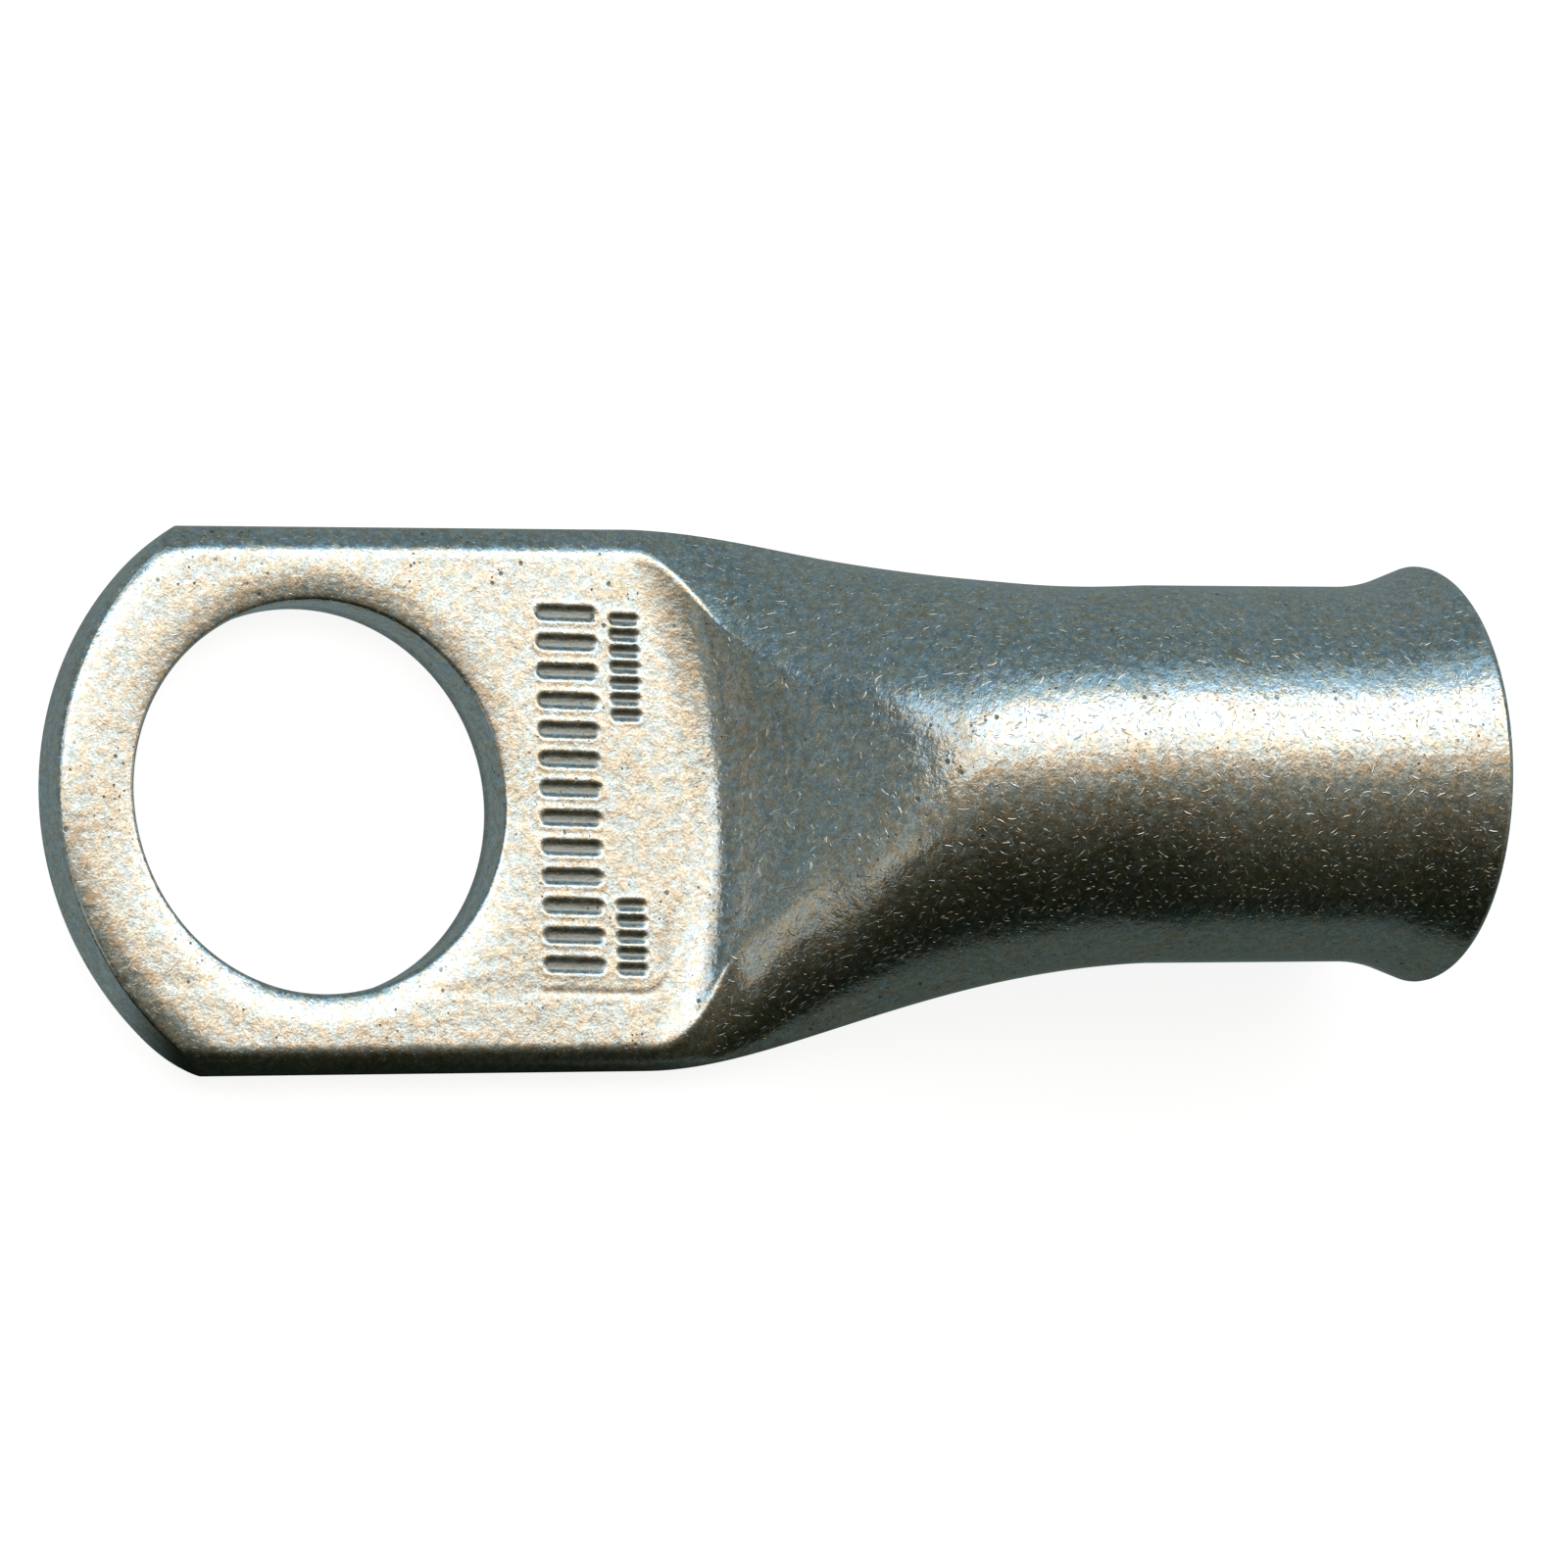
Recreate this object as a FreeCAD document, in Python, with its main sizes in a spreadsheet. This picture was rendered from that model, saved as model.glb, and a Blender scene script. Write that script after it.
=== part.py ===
"""Ring cable lug: one tube, flared at its mouth, pressed flat, sheared and punched for a stud."""
import FreeCAD, Part
import math
import os
from enum import IntEnum

import Sketcher

NODE = "cable_lug"

# Sizes in millimetres and degrees. The origin is the stud hole's centre on the contact face.
# X runs along the barrel to its mouth, and Z rises from the contact face.
SIZES = {
    "stud_hole": 13.5,
    "tongue_thickness": 2.1,
    "tongue_width": 18.9,
    "tip_reach": 9.5,
    "tip_corner": 5.02,
    "tube_bore": 11.0,
    "tube_wall": 1.05,
    "mouth_reach": 39.1,
    "flare_rise": 0.75,
    "flare_length": 2.3,
    "flare_blend": 6.0,
    "mouth_bevel": 0.3,
    "press_start": 12.0,
    "press_end": 28.5,
    "side_bulge": 1.5,
    "foot_reach": 14.4,
    "ramp_angle": 66.0,
    "ramp_radius": 40.0,
    "nose_radius": 0.8,
    "nose_bow": 28.0,
    "seam_reach": 15.3,
    "seam_gap": 0.5,
    "seam_side_wall": 1.65,
    "seam_floor": 1.1,
    "face_bevel": 0.3,
}

# Shares of the pressed stretch at which the outer and inner sections stand.
OUTER_STATIONS = (0.0, 0.18, 0.39, 0.64, 0.85)
INNER_STATIONS = (0.0, 0.15, 0.4, 0.75)

# The flattened tube gets its height back sooner than it loses its width.
WIDTH_LEAD = 1.26
HEIGHT_LEAD = 1.35
CENTRE_LEAD = 1.6
CAVITY_OPENING = 2.5
CAVITY_NARROWING = 1.75

# The flare's widest circle and the tongue's underside stand on one plane.
TUBE = "(Sizes.tube_bore + 2 * Sizes.tube_wall)"
AXIS = "(Sizes.tube_bore / 2 + Sizes.tube_wall + Sizes.flare_rise)"
MID_TONGUE = "(Sizes.tongue_thickness / 2)"
PRESSED_HEIGHT = "(Sizes.tongue_thickness + 2 * Sizes.side_bulge)"

# Where the walls meet, the tube is as wide inside as its side walls leave it.
SEAM_WIDTH = "(Sizes.tongue_width - 2 * Sizes.seam_side_wall)"

# The tip's arc goes through its foremost point and both of its corners.
TIP_RADIUS = "(Sizes.tongue_width^2 / (8 * Sizes.tip_corner) + Sizes.tip_corner / 2)"

# The flare's cone and the straight barrel meet in a blend, which starts short of their corner.
FLARE_SLOPE = "atan2(Sizes.flare_rise; Sizes.flare_length)"
BLEND_START = (f"(Sizes.mouth_reach - Sizes.flare_length"
               f" - Sizes.flare_blend * tan({FLARE_SLOPE} / 2))")

# A cutting outline passes the metal that it cuts by this much.
OVERCUT = 4.0


class Spot(IntEnum):
    """Numbers by which a sketch knows its own axes and the places on an edge."""

    VERTICAL_AXIS = -2
    HORIZONTAL_AXIS = -1
    START = 1
    END = 2
    CENTRE = 3


ORIGIN = (Spot.HORIZONTAL_AXIS, Spot.START)


def make_document():
    """Make the document and the sheet of driving sizes."""
    document = FreeCAD.newDocument("RingCableLug")
    sheet = document.addObject("Spreadsheet::Sheet", "Sizes")
    for row, (alias, value) in enumerate(SIZES.items(), start=1):
        sheet.set(f"A{row}", alias)
        sheet.set(f"B{row}", str(value))
        sheet.setAlias(f"B{row}", alias)
    document.recompute()
    return document


def smooth(share):
    """Ease from 0 to 1 with level ends."""
    return 3 * share**2 - 2 * share**3


def led(share, lead):
    """Ease from 0 to 1 ahead of the plain curve."""
    return smooth(1 - (1 - share) ** lead)


def between(first, last, share):
    """Write the expression for a size that goes from first to last by a share."""
    return f"{first} + ({last} - {first}) * {share:.6f}"


def new_sketch(body, name, role):
    """Make an empty sketch on one of the body's own planes."""
    sketch = body.newObject("Sketcher::SketchObject", name)
    plane = next(feature for feature in body.Origin.OriginFeatures if feature.Role == role)
    sketch.AttachmentSupport = (plane, [""])
    sketch.MapMode = "FlatFace"
    return sketch


def drawn_size(sketch, kind, elements):
    """Measure what a dimension is about to hold, as it is drawn."""
    if kind == "Radius":
        return sketch.Geometry[elements[0]].Radius
    if kind == "Distance":
        return sketch.Geometry[elements[0]].length()
    step = sketch.getPoint(*elements[-2:]) - sketch.getPoint(*elements[:2])
    return step.x if kind == "DistanceX" else step.y


def tie(sketch, name, expression, kind, *elements):
    """Add a named dimension whose value follows the sheet."""
    start = drawn_size(sketch, kind, elements)
    index = sketch.addConstraint(Sketcher.Constraint(kind, *elements, start))
    sketch.renameConstraint(index, name)
    sketch.setExpression(f"Constraints.{name}", expression)


def hold(sketch, kind, *elements):
    """Add a constraint that has no size."""
    sketch.addConstraint(Sketcher.Constraint(kind, *elements))


def oval_sketch(body, name, reach, width, height, centre):
    """Draw one upright oval section of the flattened tube, at a distance along the lug."""
    sketch = new_sketch(body, name, "YZ_Plane")
    sketch.setExpression(".AttachmentOffset.Base.z", reach)
    draft_centre = FreeCAD.Vector(0, SIZES["tongue_thickness"], 0)
    draft = Part.Ellipse(draft_centre, SIZES["tongue_width"] / 2, SIZES["tube_bore"] / 4)
    oval = sketch.addGeometry(draft)
    sketch.exposeInternalGeometry(oval)
    long_axis = oval + 1
    short_axis = oval + 2
    hold(sketch, "Horizontal", long_axis)
    hold(sketch, "PointOnObject", oval, Spot.CENTRE, Spot.VERTICAL_AXIS)
    tie(sketch, "centre_height", centre, "DistanceY", *ORIGIN, oval, Spot.CENTRE)
    tie(sketch, "width", width, "Distance", long_axis)
    tie(sketch, "height", height, "Distance", short_axis)
    return sketch


def circle_sketch(body, name, role, reach, diameter, centre=None):
    """Draw a circle, on the lug's centre plane unless it has a centre height."""
    sketch = new_sketch(body, name, role)
    if reach:
        sketch.setExpression(".AttachmentOffset.Base.z", reach)
    draft_centre = FreeCAD.Vector(0, SIZES["tongue_thickness"], 0)
    draft = Part.Circle(draft_centre, FreeCAD.Vector(0, 0, 1), SIZES["tube_bore"] / 2)
    ring = sketch.addGeometry(draft)
    tie(sketch, "radius", f"{diameter} / 2", "Radius", ring)
    if centre:
        hold(sketch, "PointOnObject", ring, Spot.CENTRE, Spot.VERTICAL_AXIS)
        tie(sketch, "centre_height", centre, "DistanceY", *ORIGIN, ring, Spot.CENTRE)
    else:
        hold(sketch, "Coincident", ring, Spot.CENTRE, *ORIGIN)
    return sketch


def chain(sketch, points, closed=True):
    """Draw straight edges through points and join them end to end."""
    corners = [FreeCAD.Vector(x, y, 0) for x, y in points]
    last = len(corners) if closed else len(corners) - 1
    edges = []
    for index in range(last):
        segment = Part.LineSegment(corners[index], corners[(index + 1) % len(corners)])
        edges.append(sketch.addGeometry(segment))
    for first, second in zip(edges, edges[1:]):
        hold(sketch, "Coincident", first, Spot.END, second, Spot.START)
    if closed:
        hold(sketch, "Coincident", edges[-1], Spot.END, edges[0], Spot.START)
    return edges


def add_pressed_stock(body):
    """Loft the flattened stretch from ovals to the round tube, and run it out flat to the tip."""
    sections = []
    for number, share in enumerate(OUTER_STATIONS):
        sections.append(oval_sketch(
            body,
            f"outer_oval_{number}",
            between("Sizes.press_start", "Sizes.press_end", share),
            between("Sizes.tongue_width", TUBE, led(share, WIDTH_LEAD)),
            between(PRESSED_HEIGHT, TUBE, led(share, HEIGHT_LEAD)),
            between(MID_TONGUE, AXIS, led(share, CENTRE_LEAD)),
        ))
    sections.append(circle_sketch(body, "outer_round", "YZ_Plane", "Sizes.press_end", TUBE, AXIS))
    loft = body.newObject("PartDesign::AdditiveLoft", "pressed_stretch")
    loft.Profile = sections[0]
    loft.Sections = sections[1:]
    flat = body.newObject("PartDesign::Pad", "flat_stretch")
    flat.Profile = sections[0]
    flat.Reversed = True
    flat.setExpression("Length", f"Sizes.press_start + Sizes.tip_reach + {OVERCUT}")
    return flat


def turn_outline(body, name, kind, diameter, radius):
    """Turn a round bar with a flared end about the barrel's axis, as metal or as a hollow."""
    size = SIZES
    axis = size["tube_bore"] / 2 + size["tube_wall"] + size["flare_rise"]
    flare_start = size["mouth_reach"] - size["flare_length"]
    slope = math.atan2(size["flare_rise"], size["flare_length"])
    setback = size["flare_blend"] * math.tan(slope / 2)
    bend_centre = FreeCAD.Vector(flare_start - setback, axis + radius + size["flare_blend"], 0)
    bend_circle = Part.Circle(bend_centre, FreeCAD.Vector(0, 0, 1), size["flare_blend"])
    sketch = new_sketch(body, f"{name}_outline", "XZ_Plane")
    front, axle, back, top = chain(sketch, [
        (size["mouth_reach"], axis + radius + size["flare_rise"]),
        (size["mouth_reach"], axis),
        (size["press_end"], axis),
        (size["press_end"], axis + radius),
        (flare_start - setback, axis + radius),
    ], closed=False)
    bend = sketch.addGeometry(Part.ArcOfCircle(bend_circle, -math.pi / 2, slope - math.pi / 2))
    blend_end = (flare_start + setback * math.cos(slope), axis + radius + setback * math.sin(slope))
    cone, = chain(sketch, [blend_end, (size["mouth_reach"], axis + radius + size["flare_rise"])],
                  closed=False)
    hold(sketch, "Tangent", top, Spot.END, bend, Spot.START)
    hold(sketch, "Tangent", bend, Spot.END, cone, Spot.START)
    hold(sketch, "Coincident", cone, Spot.END, front, Spot.START)
    hold(sketch, "Horizontal", axle)
    hold(sketch, "Horizontal", top)
    hold(sketch, "Vertical", back)
    hold(sketch, "Vertical", front)
    tie(sketch, "axis_height", AXIS, "DistanceY", *ORIGIN, axle, Spot.START)
    tie(sketch, "mouth", "Sizes.mouth_reach", "DistanceX", *ORIGIN, axle, Spot.START)
    tie(sketch, "barrel_start", "Sizes.press_end", "DistanceX", *ORIGIN, axle, Spot.END)
    tie(sketch, "radius", f"{diameter} / 2", "DistanceY", back, Spot.START, back, Spot.END)
    tie(sketch, "mouth_radius", f"{diameter} / 2 + Sizes.flare_rise", "DistanceY",
        front, Spot.END, front, Spot.START)
    tie(sketch, "blend", "Sizes.flare_blend", "Radius", bend)
    tie(sketch, "blend_start", BLEND_START, "DistanceX", *ORIGIN, bend, Spot.CENTRE)
    turned = body.newObject(kind, name)
    turned.Profile = sketch
    turned.ReferenceAxis = (sketch, [f"Edge{axle + 1}"])
    turned.Angle = 360
    return turned


def add_barrel(body):
    """Turn the round barrel with its flared mouth, as one solid bar."""
    outer_radius = SIZES["tube_bore"] / 2 + SIZES["tube_wall"]
    return turn_outline(body, "barrel", "PartDesign::Revolution", TUBE, outer_radius)


def add_punch(body):
    """Cut the press punch's shape out of the top: a flat face and a bowed, inclined nose."""
    size = SIZES
    sketch = new_sketch(body, "punch_outline", "XZ_Plane")
    sketch.setExpression(".AttachmentOffset.Base.x", "Sizes.foot_reach - Sizes.nose_bow")
    floor = size["tongue_thickness"]
    ceiling = size["tube_bore"] + 2 * size["tube_wall"] + size["flare_rise"] + OVERCUT
    angle = math.radians(size["ramp_angle"])
    ramp_radius = size["ramp_radius"]
    nose_radius = size["nose_radius"]
    ramp_x = size["nose_bow"] + ramp_radius * math.sin(angle)
    ramp_z = floor - ramp_radius * math.cos(angle)
    nose_z = floor + nose_radius
    nose_x = ramp_x - math.sqrt((ramp_radius + nose_radius) ** 2 - (ramp_z - nose_z) ** 2)
    meeting = math.atan2(nose_z - ramp_z, nose_x - ramp_x)
    ramp_end = math.pi - math.asin((ceiling - ramp_z) / ramp_radius)
    upward = FreeCAD.Vector(0, 0, 1)
    nose_circle = Part.Circle(FreeCAD.Vector(nose_x, nose_z, 0), upward, nose_radius)
    ramp_circle = Part.Circle(FreeCAD.Vector(ramp_x, ramp_z, 0), upward, ramp_radius)
    corner = FreeCAD.Vector(ramp_x + ramp_radius * math.cos(ramp_end), ceiling, 0)
    roof_end = FreeCAD.Vector(0, ceiling, 0)
    floor_start = FreeCAD.Vector(0, floor, 0)
    face = sketch.addGeometry(Part.LineSegment(floor_start, FreeCAD.Vector(nose_x, floor, 0)))
    nose = sketch.addGeometry(Part.ArcOfCircle(nose_circle, -math.pi / 2, meeting - math.pi))
    ramp = sketch.addGeometry(Part.ArcOfCircle(ramp_circle, ramp_end, meeting))
    roof = sketch.addGeometry(Part.LineSegment(corner, roof_end))
    back = sketch.addGeometry(Part.LineSegment(roof_end, floor_start))
    hold(sketch, "Tangent", face, Spot.END, nose, Spot.START)
    hold(sketch, "Tangent", nose, Spot.END, ramp, Spot.END)
    hold(sketch, "Coincident", ramp, Spot.START, roof, Spot.START)
    hold(sketch, "Coincident", roof, Spot.END, back, Spot.START)
    hold(sketch, "Coincident", back, Spot.END, face, Spot.START)
    hold(sketch, "Horizontal", face)
    hold(sketch, "Horizontal", roof)
    hold(sketch, "PointOnObject", face, Spot.START, Spot.VERTICAL_AXIS)
    hold(sketch, "PointOnObject", roof, Spot.END, Spot.VERTICAL_AXIS)
    tie(sketch, "nose_radius", "Sizes.nose_radius", "Radius", nose)
    tie(sketch, "ramp_radius", "Sizes.ramp_radius", "Radius", ramp)
    tie(sketch, "face_height", "Sizes.tongue_thickness", "DistanceY", *ORIGIN, face, Spot.START)
    tie(sketch, "roof_height", f"{AXIS} + {TUBE} / 2 + {OVERCUT}", "DistanceY", *ORIGIN, roof, Spot.END)
    tie(sketch, "ramp_centre_reach",
        "Sizes.nose_bow + Sizes.ramp_radius * sin(Sizes.ramp_angle * 1 deg)",
        "DistanceX", *ORIGIN, ramp, Spot.CENTRE)
    tie(sketch, "ramp_centre_drop",
        "Sizes.ramp_radius * cos(Sizes.ramp_angle * 1 deg) - Sizes.tongue_thickness",
        "DistanceY", ramp, Spot.CENTRE, *ORIGIN)
    punch = body.newObject("PartDesign::Groove", "punch_face")
    punch.Profile = sketch
    punch.ReferenceAxis = (sketch, ["V_Axis"])
    punch.Angle = 360
    return punch


def add_die(body):
    """Level the underside on the flat die."""
    sketch = new_sketch(body, "die_outline", "XY_Plane")
    half = SIZES["tongue_width"]
    near, far, side, end = chain(sketch, [
        (-half, -half),
        (SIZES["press_end"], -half),
        (SIZES["press_end"], half),
        (-half, half),
    ])
    for edge in (near, side):
        hold(sketch, "Horizontal", edge)
    for edge in (far, end):
        hold(sketch, "Vertical", edge)
    tie(sketch, "die_end", "Sizes.press_end", "DistanceX", *ORIGIN, near, Spot.END)
    tie(sketch, "die_side", "Sizes.tongue_width", "DistanceY", *ORIGIN, side, Spot.START)
    tie(sketch, "die_other_side", "Sizes.tongue_width", "DistanceY", near, Spot.START, *ORIGIN)
    tie(sketch, "die_tip", f"Sizes.tip_reach + 2 * {OVERCUT}", "DistanceX", near, Spot.START, *ORIGIN)
    die = body.newObject("PartDesign::Pocket", "die_face")
    die.Profile = sketch
    die.Type = "ThroughAll"
    return die


def tip_radius():
    """Work out the radius of the tip's arc, as the sheet does."""
    return SIZES["tongue_width"] ** 2 / (8 * SIZES["tip_corner"]) + SIZES["tip_corner"] / 2


def add_tip_shear(body):
    """Shear the tongue's end to an arc."""
    sketch = new_sketch(body, "tip_outline", "XY_Plane")
    radius = tip_radius()
    centre_x = radius - SIZES["tip_reach"]
    side = radius + OVERCUT
    far = -SIZES["tip_reach"] - 2 * OVERCUT
    circle = Part.Circle(FreeCAD.Vector(centre_x, 0, 0), FreeCAD.Vector(0, 0, 1), radius)
    blade = sketch.addGeometry(Part.ArcOfCircle(circle, math.pi / 2, 3 * math.pi / 2))
    low_lead, low, back, high, high_lead = chain(sketch, [
        (centre_x, -radius),
        (centre_x, -side),
        (far, -side),
        (far, side),
        (centre_x, side),
        (centre_x, radius),
    ], closed=False)
    hold(sketch, "Coincident", blade, Spot.END, low_lead, Spot.START)
    hold(sketch, "Coincident", high_lead, Spot.END, blade, Spot.START)
    for edge in (low, high):
        hold(sketch, "Horizontal", edge)
    for edge in (low_lead, back, high_lead):
        hold(sketch, "Vertical", edge)
    for end in (Spot.START, Spot.END):
        hold(sketch, "Vertical", blade, Spot.CENTRE, blade, end)
    hold(sketch, "PointOnObject", blade, Spot.CENTRE, Spot.HORIZONTAL_AXIS)
    tie(sketch, "tip_radius", TIP_RADIUS, "Radius", blade)
    tie(sketch, "tip_centre", f"{TIP_RADIUS} - Sizes.tip_reach", "DistanceX", *ORIGIN, blade, Spot.CENTRE)
    tie(sketch, "blade_side", f"{TIP_RADIUS} + {OVERCUT}", "DistanceY", *ORIGIN, high, Spot.END)
    tie(sketch, "blade_other_side", f"{TIP_RADIUS} + {OVERCUT}", "DistanceY", low, Spot.START, *ORIGIN)
    tie(sketch, "blade_back", f"Sizes.tip_reach + 2 * {OVERCUT}", "DistanceX", back, Spot.START, *ORIGIN)
    shear = body.newObject("PartDesign::Pocket", "tip_shear")
    shear.Profile = sketch
    shear.Type = "ThroughAll"
    shear.Reversed = True
    return shear


def add_stud_hole(body):
    """Punch the stud hole."""
    hole = body.newObject("PartDesign::Pocket", "stud_hole")
    hole.Profile = circle_sketch(body, "stud_hole_outline", "XY_Plane", None, "Sizes.stud_hole")
    hole.Type = "ThroughAll"
    hole.Reversed = True
    return hole


def add_cavity(body):
    """Open the tube's pressed end, down to where the walls meet."""
    sections = []
    for number, share in enumerate(INNER_STATIONS):
        opened = 1 - (1 - share) ** CAVITY_OPENING
        narrowed = 1 - (1 - share) ** CAVITY_NARROWING
        sections.append(oval_sketch(
            body,
            f"inner_oval_{number}",
            between("Sizes.seam_reach", "Sizes.press_end", share),
            between(SEAM_WIDTH, "Sizes.tube_bore", narrowed),
            between("Sizes.seam_gap", "Sizes.tube_bore", opened),
            between("(Sizes.seam_floor + Sizes.seam_gap / 2)", AXIS, opened),
        ))
    sections.append(circle_sketch(
        body, "inner_round", "YZ_Plane", "Sizes.press_end", "Sizes.tube_bore", AXIS))
    closed_end = body.newObject("PartDesign::SubtractiveLoft", "closed_end")
    closed_end.Profile = sections[0]
    closed_end.Sections = sections[1:]
    return closed_end


def add_bore(body):
    """Open the straight bore and its flared mouth."""
    bore_radius = SIZES["tube_bore"] / 2
    return turn_outline(body, "bore", "PartDesign::Groove", "Sizes.tube_bore", bore_radius)


def near(value, target):
    """Compare two sizes within a hundredth of a millimetre."""
    return abs(value - target) < 0.01


def level_edges(shape, curve, measure, target):
    """Find the round edges of one curve kind that lie level at a place, along X or Z."""
    names = []
    for number, edge in enumerate(shape.Edges, start=1):
        box = edge.BoundBox
        low, high = (box.XMin, box.XMax) if measure == "X" else (box.ZMin, box.ZMax)
        if edge.Curve.TypeId == curve and near(low, target) and near(high, target):
            names.append(f"Edge{number}")
    return names


def add_roundings(document, body, base):
    """Break the mouth's edges, and roll over the punched and sheared edges of the face."""
    for name, direction, reach, size in (
        ("mouth_edges", "X", "mouth_reach", "Sizes.mouth_bevel"),
        ("face_edges", "Z", "tongue_thickness", "Sizes.face_bevel"),
    ):
        bevel = body.newObject("PartDesign::Chamfer", name)
        bevel.Base = (base, level_edges(base.Shape, "Part::GeomCircle", direction, SIZES[reach]))
        bevel.setExpression("Size", size)
        document.recompute()
        base = bevel
    return base


def check_objects(document):
    """Stop if any object failed to compute."""
    for item in document.Objects:
        if {"Invalid", "Error"} & set(item.State):
            raise RuntimeError(f"{item.Name} failed: {item.State} {item.getStatusString()}")


def export(body):
    """Check the finished lug and write it to its file."""
    shape = body.Shape
    if shape.isNull() or not shape.isValid() or len(shape.Solids) != 1:
        raise RuntimeError(f"{body.Label} is not one valid solid")
    os.makedirs("parts", exist_ok=True)
    shape.exportStep(f"parts/{NODE}.step")
    print(NODE, "volume", round(shape.Volume, 1), "faces", len(shape.Faces))


def main():
    """Build the lug in the order in which it is made."""
    document = make_document()
    body = document.addObject("PartDesign::Body", NODE)
    body.Label = NODE
    for step in (add_pressed_stock, add_barrel, add_die, add_punch, add_tip_shear, add_stud_hole,
                 add_cavity, add_bore):
        feature = step(body)
        document.recompute()
        check_objects(document)
    feature = add_roundings(document, body, feature)
    body.Tip = feature
    document.recompute()
    check_objects(document)
    export(body)


main()
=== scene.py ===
"""Ring cable lug in tinned copper, laid on a plain pale floor under soft studio lamps."""

import logging
import math
from dataclasses import dataclass, field
from functools import partial, reduce
from typing import Any, Iterable

import bmesh
import bpy
import numpy as np
from mathutils import Matrix, Vector
from numpy.typing import NDArray

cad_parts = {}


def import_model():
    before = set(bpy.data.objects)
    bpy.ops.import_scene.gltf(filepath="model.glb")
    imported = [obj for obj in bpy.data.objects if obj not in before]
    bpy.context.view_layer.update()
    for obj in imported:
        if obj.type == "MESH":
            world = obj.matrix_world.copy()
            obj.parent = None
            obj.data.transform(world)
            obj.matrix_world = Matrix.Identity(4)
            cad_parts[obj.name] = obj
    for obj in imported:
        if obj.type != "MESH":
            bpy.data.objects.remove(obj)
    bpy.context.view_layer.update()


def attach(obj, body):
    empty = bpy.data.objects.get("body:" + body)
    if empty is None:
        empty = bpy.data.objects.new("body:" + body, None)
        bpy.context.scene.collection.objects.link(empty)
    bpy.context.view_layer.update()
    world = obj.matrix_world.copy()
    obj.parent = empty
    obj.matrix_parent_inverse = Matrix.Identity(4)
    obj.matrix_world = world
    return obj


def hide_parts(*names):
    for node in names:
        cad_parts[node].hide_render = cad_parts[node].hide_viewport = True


# Short names for type hints
Socket = bpy.types.NodeSocket
Grid = NDArray[np.float64]
Curve = tuple[tuple[float, float], ...]
Span = tuple[float, float]
Colour = tuple[float, float, float, float]

LOG = logging.getLogger("cable_lug")
MILLIMETRE = 0.001
NODE = "cable_lug"
BODY = "root"


# Forms that more than one surface uses


def ease(share: Grid) -> Grid:
    """Ease from 0 to 1 with level ends, held outside: three times the square less twice the cube."""
    held = np.clip(share, 0.0, 1.0)
    return 3.0 * held**2 - 2.0 * held**3


def led_ease(share: Grid, lead: Grid | float) -> Grid:
    """Ease ahead of the plain curve: the share that is left is raised to the lead's power."""
    return ease(1.0 - (1.0 - np.clip(share, 0.0, 1.0)) ** lead)


def through(stations: Curve, place: Grid) -> Grid:
    """Follow a smooth curve through stations: a cubic in each gap, level at both ends.

    The slope at an inner station is that of the line between its two neighbours.

    Args:
        stations: Pairs of place and value, in order of place.
        place: Where to read the curve; places outside the stations are held.

    Returns:
        The curve's values.
    """
    spots, values = np.array(stations).T
    slopes = np.zeros_like(values)
    slopes[1:-1] = (values[2:] - values[:-2]) / (spots[2:] - spots[:-2])
    held = np.clip(place, spots[0], spots[-1])
    left = np.clip(np.searchsorted(spots, held, side="right") - 1, 0, len(spots) - 2)
    gap = spots[left + 1] - spots[left]
    share = (held - spots[left]) / gap
    rise = ease(share)
    lean = slopes[left] * share * (1.0 - share) ** 2 - slopes[left + 1] * share**2 * (1.0 - share)
    return values[left] + (values[left + 1] - values[left]) * rise + gap * lean


def soft_min(first: Grid, second: Grid, blend: Grid | float) -> Grid:
    """Take the lower of two heights, rounded over where they are nearer than the blend."""
    near = np.clip(0.5 + 0.5 * (second - first) / blend, 0.0, 1.0)
    return second + (first - second) * near - blend * near * (1.0 - near)


def soft_max(first: Grid, second: Grid, blend: Grid | float) -> Grid:
    """Take the higher of two heights, rounded over in the same way."""
    return -soft_min(-first, -second, blend)


def stack(*values: Grid) -> Grid:
    """Join coordinate arrays into points of as many values each."""
    return np.stack(np.broadcast_arrays(*values), axis=-1)


def walked(points: Grid) -> Grid:
    """Measure the lengths walked from row to row of points, from the first row."""
    steps = np.linalg.norm(np.diff(points, axis=0), axis=-1)
    return np.concatenate((np.zeros_like(steps[:1]), np.cumsum(steps, axis=0)))


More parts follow.
